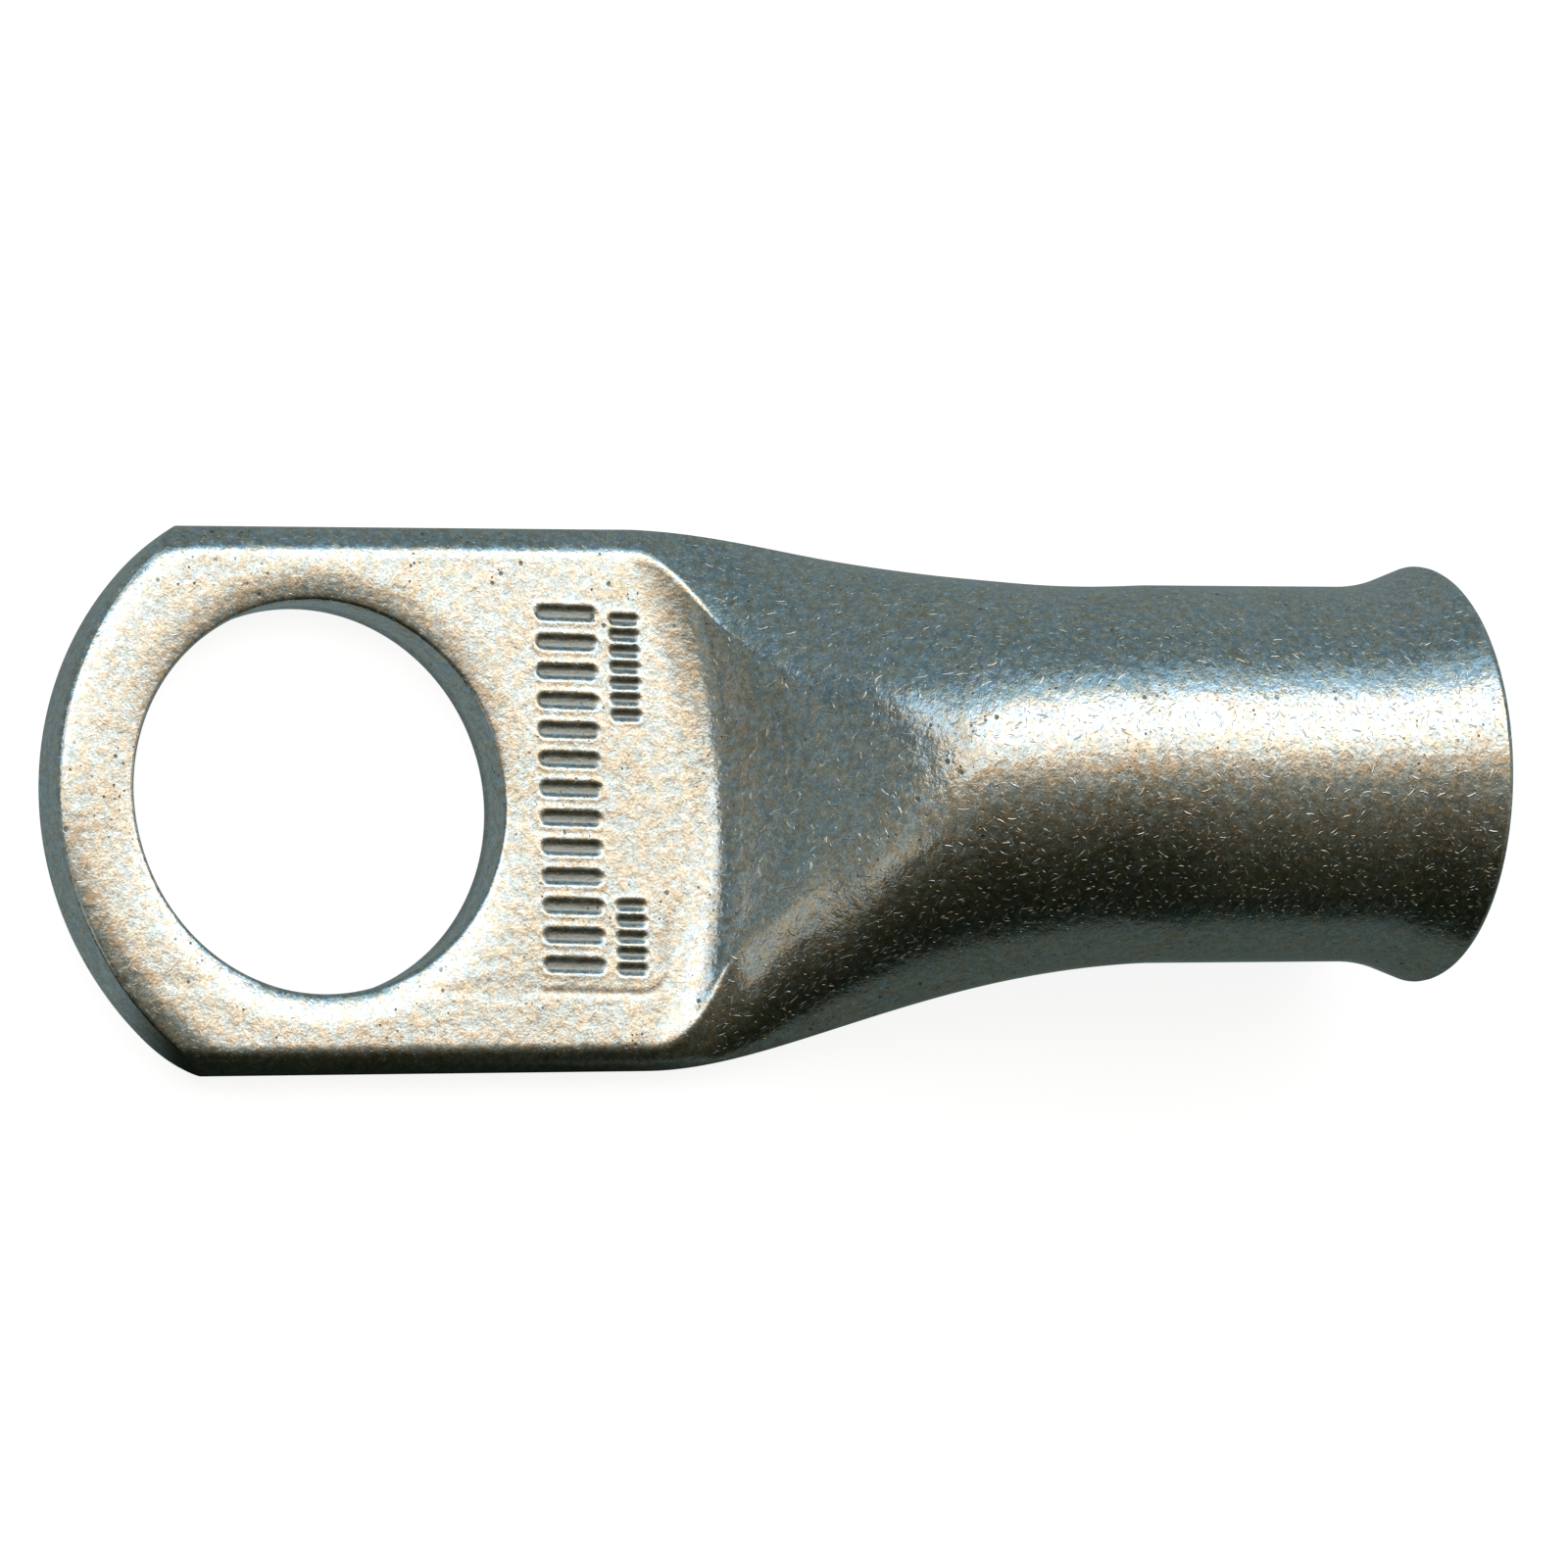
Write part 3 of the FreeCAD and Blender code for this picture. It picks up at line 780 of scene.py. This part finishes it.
        under = np.linspace(math.pi + side, 2.0 * math.pi - side, self.under_steps + 1)
        under_join = self.outer_points(np.full_like(under, self.join_reach), under)
        foot = np.concatenate((self.relief(under_join), wall[-1, 1:]))
        foot_bearing = np.unwrap(np.arctan2(foot[:, 1], foot[:, 0]))
        whole = 2.0 * math.pi
        skin.add_zip(hole[-1], foot, hole[-1, :, :2] + self.under_sheet, foot[:, :2] + self.under_sheet,
                     (bearing - bearing[0]) / whole, (foot_bearing - foot_bearing[0]) / whole)

    def build(self) -> bpy.types.Object:
        """Build the whole skin as one closed mesh.

        Returns:
            The lug's object.
        """
        skin = Skin()
        self.add_barrel(skin)
        self.add_mouth(skin)
        self.add_cavity(skin)
        self.add_tongue(skin)
        item = skin.make_object("pressed_lug", self.merge)
        self.store_stamp(item.data)
        return item

    def store_stamp(self, mesh: bpy.types.Mesh) -> None:
        """Store how deep in the stamped marks each point lies, which the finish dulls.

        Args:
            mesh: The lug's mesh, in metres.
        """
        places = np.empty(len(mesh.vertices) * 3, dtype=np.float32)
        mesh.vertices.foreach_get("co", places)
        x, y, z = places.reshape(-1, 3).T.astype(float) / MILLIMETRE
        lowest = self.bars.lowest_share * self.sizes.tongue_thickness
        on_face = (z > lowest) & (x > self.join_reach) & (x < self.bars.last_reach)
        share = np.clip(self.marks(x, y) / self.bars.depth, 0.0, 1.0) * on_face
        stamp = mesh.attributes.new("Stamp", "FLOAT", "POINT")
        stamp.data.foreach_set("value", share.astype(np.float32))


# The finish


class Bench:
    """Adds nodes to one node tree and wires them."""

    def __init__(self, tree: bpy.types.NodeTree) -> None:
        """Clear the tree that the nodes go into."""
        tree.nodes.clear()
        self.tree = tree

    def add(self, kind: str, settings: dict[str, Any] | None = None,
            inputs: dict[Any, Any] | None = None) -> bpy.types.Node:
        """Add a node, set it up and fill its inputs.

        Args:
            kind: The node's type name.
            settings: Values for the node's own properties.
            inputs: For each input's name or number, an output to wire or a plain value.

        Returns:
            The new node.
        """
        node = self.tree.nodes.new(kind)
        for name, value in (settings or {}).items():
            setattr(node, name, value)
        for name, value in (inputs or {}).items():
            if isinstance(value, Socket):
                self.tree.links.new(value, node.inputs[name])
            else:
                node.inputs[name].default_value = value
        return node

    def maths(self, operation: str, *values: Any) -> Socket:
        """Add a Math node and give its result."""
        return self.add("ShaderNodeMath", {"operation": operation}, dict(enumerate(values))).outputs[0]

    def product(self, *values: Any) -> Socket:
        """Multiply any number of values, one after another."""
        return reduce(partial(self.maths, "MULTIPLY"), values)

    def highest(self, values: Iterable[Any]) -> Socket:
        """Give the highest of any number of values."""
        return reduce(partial(self.maths, "MAXIMUM"), values)

    def weighted(self, start: Any, *parts: tuple[Any, float]) -> Socket:
        """Add values to a start, each multiplied by its own factor."""
        return reduce(lambda total, part: self.maths("MULTIPLY_ADD", *part, total), parts, start)

    def split(self, place: Any) -> bpy.types.bpy_prop_collection:
        """Split a vector into its three values."""
        return self.add("ShaderNodeSeparateXYZ", None, {0: place}).outputs

    def fade(self, value: Any, span: Span, low: float = 0.0, high: float = 1.0) -> Socket:
        """Ease a value from one range to another, held at both ends.

        Args:
            value: What to ease.
            span: The range that the value comes from.
            low: The result at the span's start.
            high: The result at the span's end.

        Returns:
            The eased value.
        """
        settings = {"interpolation_type": "SMOOTHSTEP"}
        inputs = {"Value": value, "From Min": span[0], "From Max": span[1], "To Min": low, "To Max": high}
        return self.add("ShaderNodeMapRange", settings, inputs).outputs["Result"]

    def noise(self, place: Any, scale: Any, detail: float, roughness: float) -> Socket:
        """Add a noise and give its value."""
        inputs = {"Vector": place, "Scale": scale, "Detail": detail, "Roughness": roughness}
        return self.add("ShaderNodeTexNoise", None, inputs).outputs["Fac"]

    def blend(self, share: Any, first: Any, second: Any, kind: str = "MIX") -> Socket:
        """Mix two colours by a share."""
        settings = {"data_type": "RGBA", "blend_type": kind}
        return self.add("ShaderNodeMix", settings, {0: share, 6: first, 7: second}).outputs[2]


@dataclass(frozen=True)
class TinFinish:
    """Tumbled tin plate: finely mottled, pitted in patches and nicked by short strokes.

    Scales are repeats for each metre of surface, and heights are metres. A span is the range
    over which a value fades. Strokes and pits are measured in cells of their own scale.
    """

    warm: Colour = (0.99, 0.89, 0.75, 1.0)
    cool: Colour = (0.83, 0.94, 1.0, 1.0)
    stain: Colour = (0.80, 0.66, 0.50, 1.0)
    dark: Colour = (0.13, 0.135, 0.11, 1.0)
    bright: Colour = (1.0, 0.99, 0.96, 1.0)
    stamped: Colour = (0.19, 0.21, 0.20, 1.0)
    stain_share: float = 0.45
    pit_share: float = 0.85
    stamp_share: float = 0.85
    stroke_share: float = 0.7
    mottle_shade: Span = (0.72, 1.0)
    grain_shade: Span = (0.74, 1.04)
    cloud_scale: float = 330.0
    cloud_span: Span = (0.42, 0.66)
    tone_scale: float = 2500.0
    tone_span: Span = (0.36, 0.64)
    mottle_scale: float = 3400.0
    grain_scale: float = 10500.0
    fine_span: Span = (0.3, 0.7)
    pit_scales: tuple[float, ...] = (2700.0, 5200.0)
    pit_sizes: Span = (0.09, 0.30)
    pit_edge: Span = (0.5, 1.1)
    pit_odds: Span = (0.98, 1.2)
    pit_patches: float = 0.45
    stroke_scales: tuple[float, ...] = (1400.0, 2400.0, 3900.0)
    stroke_width: Span = (0.005, 0.045)
    stroke_length: Span = (0.06, 0.32)
    stroke_bow: float = 0.6
    stroke_odds: Span = (0.15, 0.80)
    pressed_reach: Span = (0.0130, 0.0150)
    pressed_strokes: float = 0.3
    roughness: float = 0.20
    mottle_roughness: float = 0.30
    pit_roughness: float = 0.25
    stroke_roughness: float = 0.12
    stamp_roughness: float = 0.15
    grain_height: float = 0.0000055
    mottle_height: float = 0.000012
    tone_height: float = 0.0000035
    cloud_height: float = 0.000012
    pit_height: float = -0.000012
    stroke_height: float = 0.000014

    def stroke_mask(self, bench: Bench, surface: Any, scale: float) -> Socket:
        """Short strokes, one at the middle of some cells, each turned and bowed its own way.

        Args:
            bench: Where the nodes go.
            surface: Surface coordinates.
            scale: Cells for each metre.

        Returns:
            A mask that is 1 on a stroke.
        """
        cell = bench.add("ShaderNodeTexVoronoi", {"voronoi_dimensions": "2D"},
                         {"Vector": surface, "Scale": scale})
        offset = bench.add("ShaderNodeVectorMath", {"operation": "SUBTRACT"},
                           {0: surface, 1: cell.outputs["Position"]})
        local = bench.add("ShaderNodeVectorMath", {"operation": "SCALE"},
                          {0: offset.outputs[0], "Scale": scale})
        chance = bench.add("ShaderNodeSeparateColor", None, {0: cell.outputs["Color"]})
        turn = bench.product(chance.outputs[0], 2.0 * math.pi)
        turned = bench.add("ShaderNodeVectorRotate", {"rotation_type": "Z_AXIS"},
                           {"Vector": local.outputs[0], "Angle": turn})
        axes = bench.split(turned.outputs[0])
        bow = bench.product(axes[0], axes[0], self.stroke_bow)
        across = bench.maths("ABSOLUTE", bench.maths("SUBTRACT", axes[1], bow))
        narrow = bench.fade(across, self.stroke_width, 1.0, 0.0)
        short = bench.fade(bench.maths("ABSOLUTE", axes[0]), self.stroke_length, 1.0, 0.0)
        return bench.product(narrow, short, bench.fade(chance.outputs[1], self.stroke_odds))

    def pit_mask(self, bench: Bench, place: Any, patch: Any, scale: float) -> Socket:
        """Round pits at the middle of some cells, more of them where the patch value is high.

        Args:
            bench: Where the nodes go.
            place: Object coordinates.
            patch: A slow value from 0 to 1.
            scale: Cells for each metre.

        Returns:
            A mask that is 1 in a pit.
        """
        cell = bench.add("ShaderNodeTexVoronoi", None, {"Vector": place, "Scale": scale})
        chance = bench.add("ShaderNodeSeparateColor", None, {0: cell.outputs["Color"]})
        size = bench.fade(chance.outputs[1], (0.0, 1.0), *self.pit_sizes)
        edge = bench.maths("DIVIDE", cell.outputs["Distance"], size)
        odds = bench.weighted(chance.outputs[0], (patch, self.pit_patches))
        return bench.product(bench.fade(edge, self.pit_edge, 1.0, 0.0), bench.fade(odds, self.pit_odds))

    def make_group(self) -> bpy.types.NodeTree:
        """Build the finish's node group: colour, roughness and height over the surface.

        Returns:
            The group.
        """
        group = bpy.data.node_groups.new("tumbled_tin", "ShaderNodeTree")
        sockets = {"Place": "Vector", "Surface": "Vector", "Stamp": "Float",
                   "Colour": "Color", "Roughness": "Float", "Height": "Float"}
        for number, (name, kind) in enumerate(sockets.items()):
            way = "INPUT" if number < 3 else "OUTPUT"
            group.interface.new_socket(name=name, in_out=way, socket_type=f"NodeSocket{kind}")
        bench = Bench(group)
        place, surface, stamp = list(bench.add("NodeGroupInput").outputs)[:3]

        cloud = bench.fade(bench.noise(place, self.cloud_scale, 3.0, 0.55), self.cloud_span)
        tone = bench.fade(bench.noise(place, self.tone_scale, 3.0, 0.6), self.tone_span)
        mottle = bench.noise(place, self.mottle_scale, 2.0, 0.6)
        grain = bench.noise(place, self.grain_scale, 1.0, 0.6)
        pits = bench.highest(self.pit_mask(bench, place, cloud, scale) for scale in self.pit_scales)
        strokes = bench.highest(self.stroke_mask(bench, surface, scale) for scale in self.stroke_scales)
        fewer = bench.fade(bench.split(place)[0], self.pressed_reach, self.pressed_strokes)
        strokes = bench.product(strokes, fewer)

        colour = bench.blend(tone, self.cool, self.warm)
        colour = bench.blend(bench.product(cloud, cloud, self.stain_share, tone), colour, self.stain)
        shade = bench.product(bench.fade(mottle, self.fine_span, *self.mottle_shade),
                              bench.fade(grain, self.fine_span, *self.grain_shade))
        grey = bench.add("ShaderNodeCombineColor", None, {0: shade, 1: shade, 2: shade})
        colour = bench.blend(1.0, colour, grey.outputs[0], "MULTIPLY")
        for mask, share, tint in ((pits, self.pit_share, self.dark), (stamp, self.stamp_share, self.stamped),
                                  (strokes, self.stroke_share, self.bright)):
            colour = bench.blend(bench.product(mask, share), colour, tint)

        uneven = bench.maths("SUBTRACT", mottle, 0.5)
        rough = bench.weighted(self.roughness, (uneven, self.mottle_roughness), (pits, self.pit_roughness),
                               (strokes, self.stroke_roughness), (stamp, self.stamp_roughness))
        height = bench.weighted(0.0, (grain, self.grain_height), (mottle, self.mottle_height),
                                (tone, self.tone_height), (cloud, self.cloud_height),
                                (pits, self.pit_height), (strokes, self.stroke_height))
        bench.add("NodeGroupOutput", None, {"Colour": colour, "Roughness": rough, "Height": height})
        return group

    def make_material(self) -> bpy.types.Material:
        """Build the tin's material round its group.

        Returns:
            The material.
        """
        material = bpy.data.materials.new("tumbled_tin_plate")
        material.use_nodes = True
        bench = Bench(material.node_tree)
        coordinates = bench.add("ShaderNodeTexCoord")
        surface = bench.add("ShaderNodeUVMap", {"uv_map": "Surface"})
        stamp = bench.add("ShaderNodeAttribute", {"attribute_name": "Stamp"})
        group = bench.add("ShaderNodeGroup", {"node_tree": self.make_group()}, {
            "Place": coordinates.outputs["Object"],
            "Surface": surface.outputs["UV"],
            "Stamp": stamp.outputs["Fac"],
        })
        bump = bench.add("ShaderNodeBump", None,
                         {"Strength": 1.0, "Distance": 1.0, "Height": group.outputs["Height"]})
        shader = bench.add("ShaderNodeBsdfPrincipled", None, {
            "Base Color": group.outputs["Colour"],
            "Metallic": 1.0,
            "Roughness": group.outputs["Roughness"],
            "Normal": bump.outputs["Normal"],
        })
        bench.add("ShaderNodeOutputMaterial", None, {"Surface": shader.outputs["BSDF"]})
        return material


# The studio


@dataclass(frozen=True)
class SoftLamp:
    """A rectangular soft lamp that faces the lug's middle.

    Two angles in degrees, from straight up, give its place: lean is how far it stands towards
    +Y, and along is how far towards +X. Its reach in each direction is a half angle, and its
    radiance is what the lug sees of it, so it stays the same at any distance.
    """

    name: str
    lean: float
    lean_reach: float
    along: float
    along_reach: float
    radiance: float
    colour: tuple[float, float, float]
    distance: float = 0.6

    def place(self, middle: Vector) -> None:
        """Set the lamp up, with its width along the lug.

        Args:
            middle: The point that the lamp faces.
        """
        lean, along = math.radians(self.lean), math.radians(self.along)
        back = Vector((math.sin(along), math.sin(lean) * math.cos(along), math.cos(lean) * math.cos(along)))
        side = (Vector((1.0, 0.0, 0.0)) - back * back.x).normalized()
        up = back.cross(side)
        data = bpy.data.lights.new(self.name, "AREA")
        data.shape = "RECTANGLE"
        data.size = 2.0 * self.distance * math.tan(math.radians(self.along_reach))
        data.size_y = 2.0 * self.distance * math.tan(math.radians(self.lean_reach))
        data.energy = self.radiance * math.pi * data.size * data.size_y
        data.color = self.colour
        lamp = bpy.data.objects.new(self.name, data)
        turn = Matrix((side, up, back)).transposed().to_4x4()
        lamp.matrix_world = Matrix.Translation(middle + back * self.distance) @ turn
        bpy.context.scene.collection.objects.link(lamp)


@dataclass
class Studio:
    """Floor, lamps, surroundings and camera.

    Sheens are painted reflections: colours that the floor glows with only where the metal mirrors it,
    with a painted shade and a painted pale strip. Places on the floor are in metres, across the lug for the
    painted shade and both ends of the painted strip, and along it for the strip's reach.
    The room's stops run from what lies towards -Y, at -1, to what lies towards +Y, at 1.
    """

    middle: tuple[float, float, float] = (0.0148, 0.0, 0.004)
    floor_size: float = 3.0
    floor_drop: float = 0.00002
    camera_place: tuple[float, float, float] = (-0.13658, -0.048507, 0.349558)
    camera_turn: tuple[float, float, float] = (-0.13797, 0.41231, 0.02954)
    lens: float = 253.49
    sensor: float = 36.0
    nearest: float = 0.01
    floor_colour: Colour = (0.30, 0.31, 0.315, 1.0)
    # painted dark: the floor's diffuse colour as the metal mirrors it, nearly black instead of its lit pale
    # grey
    floor_painted_dark_in_metal: Colour = (0.012, 0.014, 0.013, 1.0)
    floor_glow: float = 0.88
    # painted shade and painted strip: where the floor's painted reflection turns dark, and where its dim
    # strip lies
    painted_shade_span: Span = (-0.0095, -0.0065)
    painted_strip_far_end: Span = (-0.050, -0.025)
    painted_strip_near_end: Span = (-0.0085, -0.0060)
    painted_strip_reach: Span = (0.010, 0.022)
    # painted reflections: colours that the floor glows with only for glossy rays, dark towards -Y, dim in
    # the strip, pale elsewhere
    painted_shade_reflection: Colour = (0.002, 0.005, 0.002, 1.0)
    painted_strip_reflection: Colour = (0.068, 0.088, 0.078, 1.0)
    painted_pale_reflection: Colour = (0.175, 0.225, 0.23, 1.0)
    room: tuple[tuple[float, Colour], ...] = (
        (-1.0, (0.009, 0.011, 0.006, 1.0)),
        (-0.80, (0.028, 0.029, 0.018, 1.0)),
        (-0.45, (0.12, 0.11, 0.08, 1.0)),
        (-0.12, (0.27, 0.29, 0.255, 1.0)),
        (0.3, (0.115, 0.16, 0.175, 1.0)),
        (0.7, (0.17, 0.235, 0.255, 1.0)),
        (1.0, (0.15, 0.21, 0.225, 1.0)),
    )
    lamps: tuple[SoftLamp, ...] = (
        SoftLamp("key", 29.5, 12.0, 4.0, 48.0, 1.6, (1.0, 0.985, 0.96)),
        SoftLamp("key_end", 29.5, 12.0, -52.0, 8.0, 0.75, (1.0, 0.985, 0.96)),
        SoftLamp("cool_edge", 49.0, 7.5, -3.0, 55.0, 0.55, (0.44, 0.76, 1.0)),
        SoftLamp("warm_edge", 11.5, 6.5, 4.0, 48.0, 1.22, (1.0, 0.95, 0.84)),
        SoftLamp("warm_end", 11.5, 6.5, -52.0, 8.0, 0.6, (1.0, 0.95, 0.84)),
        SoftLamp("tan_edge", -0.5, 5.5, -3.0, 55.0, 0.50, (1.0, 0.62, 0.34)),
        SoftLamp("fold_edge", -52.0, 9.0, -58.0, 10.0, 0.32, (1.0, 0.98, 0.90)),
    )

    def add_floor(self) -> None:
        """Lay the floor, which shows white to the camera and keeps the lug's shadow.

        In the metal it shows a painted reflection instead of its lit colour: pale grey, and a painted
        shade that is nearly black towards -Y, apart from a painted dim strip beside the barrel.
        """
        half = self.floor_size / 2.0
        corners = np.array(((-half, -half), (half, -half), (half, half), (-half, half)))
        points = np.column_stack((corners, np.full(4, -self.floor_drop)))
        mesh = bpy.data.meshes.new("floor")
        mesh.from_pydata(points.tolist(), [], [(0, 1, 2, 3)])
        floor = bpy.data.objects.new("floor", mesh)
        bpy.context.scene.collection.objects.link(floor)
        material = bpy.data.materials.new("pale_floor_painted_mirror_colours")
        material.use_nodes = True
        bench = Bench(material.node_tree)
        along, across, _ = bench.split(bench.add("ShaderNodeTexCoord").outputs["Object"])
        # painted reflection: what the metal mirrors of the floor is painted by place, not lit by the lamps
        painted_reflection = bench.blend(bench.fade(across, self.painted_shade_span), self.painted_shade_reflection, self.painted_pale_reflection)
        # painted strip: a dim band of painted reflection beside the barrel
        strip = bench.product(bench.fade(across, self.painted_strip_near_end, 1.0, 0.0),
                              bench.fade(across, self.painted_strip_far_end), bench.fade(along, self.painted_strip_reach))
        painted_reflection = bench.blend(strip, painted_reflection, self.painted_strip_reflection)
        rays = bench.add("ShaderNodeLightPath").outputs
        white = (self.floor_glow, self.floor_glow, self.floor_glow, 1.0)
        open_rays = bench.maths("ADD", rays["Is Camera Ray"], rays["Is Transmission Ray"])
        # the floor glows white to the camera, and with the painted reflection to glossy rays
        painted_mirror_glow = bench.blend(rays["Is Glossy Ray"], (0.0, 0.0, 0.0, 1.0), painted_reflection)
        white_and_painted_glow = bench.add("ShaderNodeEmission", None, {"Color": bench.blend(open_rays, painted_mirror_glow, white)})
        # painted dark: glossy rays see the floor's diffuse colour nearly black, while the camera sees it
        # pale
        lit_and_painted_dark_colour = bench.blend(rays["Is Glossy Ray"], self.floor_colour, self.floor_painted_dark_in_metal)
        body = bench.add("ShaderNodeBsdfDiffuse", None, {"Color": lit_and_painted_dark_colour})
        both = bench.add("ShaderNodeAddShader", None, {0: body.outputs[0], 1: white_and_painted_glow.outputs[0]})
        bench.add("ShaderNodeOutputMaterial", None, {"Surface": both.outputs[0]})
        mesh.materials.append(material)

    def add_surroundings(self) -> None:
        """Set the room: white to the camera, cool grey towards +Y and dark towards -Y."""
        world = bpy.data.worlds.new("room")
        bpy.context.scene.world = world
        world.use_nodes = True
        bench = Bench(world.node_tree)
        across = bench.split(bench.add("ShaderNodeTexCoord").outputs["Generated"])[1]
        share = bench.maths("MULTIPLY_ADD", across, 0.5, 0.5)
        walls = bench.add("ShaderNodeValToRGB", None, {"Fac": share})
        stops = walls.color_ramp.elements
        while len(stops) < len(self.room):
            stops.new(0.5)
        for stop, (side, colour) in zip(stops, self.room):
            stop.position = 0.5 + side / 2.0
            stop.color = colour
        camera_rays = bench.add("ShaderNodeLightPath").outputs["Is Camera Ray"]
        shown = bench.blend(camera_rays, walls.outputs["Color"], (1.0, 1.0, 1.0, 1.0))
        light = bench.add("ShaderNodeBackground", None, {"Color": shown})
        bench.add("ShaderNodeOutputWorld", None, {"Surface": light.outputs[0]})

    def add_camera(self) -> None:
        """Set the camera up at its place, turned about one axis by that axis's length in radians."""
        data = bpy.data.cameras.new("camera")
        data.sensor_width = self.sensor
        data.lens = self.lens
        data.clip_start = self.nearest
        camera = bpy.data.objects.new("camera", data)
        turn = Vector(self.camera_turn)
        into_view = Matrix.Rotation(turn.length, 4, turn.normalized())
        camera.matrix_world = Matrix.Translation(self.camera_place) @ into_view.transposed()
        bpy.context.scene.collection.objects.link(camera)
        bpy.context.scene.camera = camera

    def build(self) -> None:
        """Set up the whole studio."""
        self.add_floor()
        self.add_surroundings()
        for lamp in self.lamps:
            lamp.place(Vector(self.middle))
        self.add_camera()
        bpy.context.scene.view_settings.view_transform = "Standard"


def main() -> None:
    """Build, dress and light the lug, and report the pieces."""
    logging.basicConfig(level=logging.INFO, format="%(name)s: %(message)s")
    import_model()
    lug = PressedLug().build()
    lug.data.materials.append(TinFinish().make_material())
    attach(lug, BODY)
    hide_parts(NODE)
    Studio().build()


if __name__ == "__main__":
    main()
